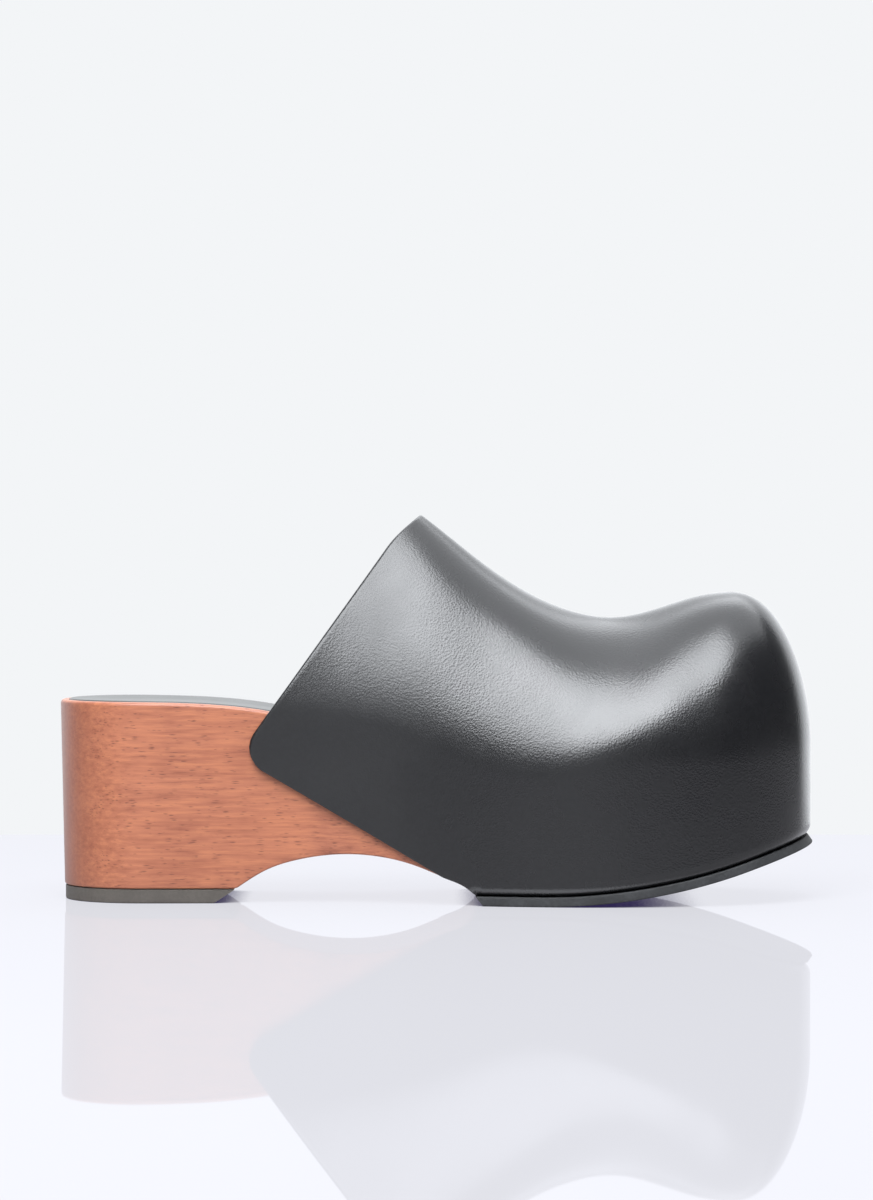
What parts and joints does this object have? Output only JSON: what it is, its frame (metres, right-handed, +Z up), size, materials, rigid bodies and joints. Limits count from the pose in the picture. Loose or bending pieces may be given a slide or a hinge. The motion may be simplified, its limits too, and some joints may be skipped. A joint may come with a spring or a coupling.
{
  "type": "wooden clog",
  "caption": "Backless platform clog for the right foot: arched one-piece wooden sole, smooth leather upper down to the outsole, round toe, slanted collar, rubber outsole and heel lift.",
  "frame": {"origin": "on the floor, in the middle of the shoe's length and width", "axes": "+X towards the toe, +Z up, -Y towards the shoe's outer side, which the picture shows"},
  "size_m": [0.2699, 0.0973, 0.1375],
  "materials": {
    "wood": "satin oiled reddish-brown hardwood with short dark pores along the grain",
    "upper_leather": "smooth black calf leather with a soft sheen",
    "outsole_rubber": "matt dark grey rubber",
    "lift_rubber": "matt grey-brown rubber",
    "insole_leather": "smooth dark lining leather"
  },
  "bodies": {
    "root": {"wooden_sole": "wood", "upper": "upper_leather", "forefoot_outsole": "outsole_rubber", "heel_lift": "lift_rubber", "insole": "insole_leather"}
  },
  "joints": []
}
